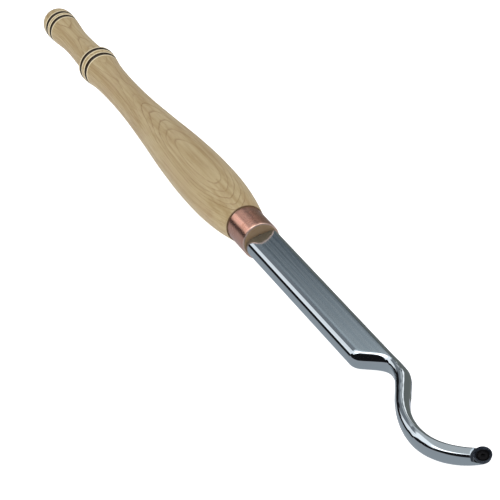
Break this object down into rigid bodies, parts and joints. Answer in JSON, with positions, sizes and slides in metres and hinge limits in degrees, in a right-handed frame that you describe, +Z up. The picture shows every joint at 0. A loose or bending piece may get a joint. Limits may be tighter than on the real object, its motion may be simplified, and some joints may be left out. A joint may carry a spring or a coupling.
{
  "type": "swan-neck hollowing tool",
  "caption": "Woodturning hollowing tool: long turned wooden handle, copper ferrule, flat steel bar and a swan-neck hook carrying a round dished cutter.",
  "frame": {"origin": "middle of the bar's flat underside, the face that slides on a lathe's tool rest", "axes": "+X along the tool towards the cutter, +Z up out of the bar's flat top, +Y to the side that the hook's tip points to"},
  "size_m": [0.7964, 0.0422, 0.0422],
  "materials": {
    "turned_wood": "satin",
    "copper_tube": "polished",
    "polished_steel": "brushed bar, polished neck and hook",
    "cutter_steel": "dark ground",
    "screw_steel": "black oxide"
  },
  "bodies": {
    "tool": {"handle": "turned_wood", "ferrule": "copper_tube", "blade": "polished_steel"},
    "cutter": {"cutter": "cutter_steel"},
    "cutter_screw": {"cutter_screw": "screw_steel"}
  },
  "joints": [
    {"name": "cutter_turn", "type": "hinge", "parent": "tool", "child": "cutter", "pos_m": [0.2448, 0.00974, 0.0079], "axis": [0.3746, 0, 0.9272], "continuous": true},
    {"name": "screw_turn", "type": "hinge", "parent": "tool", "child": "cutter_screw", "pos_m": [0.2448, 0.00974, 0.0079], "axis": [0.3746, 0, 0.9272], "continuous": true}
  ]
}
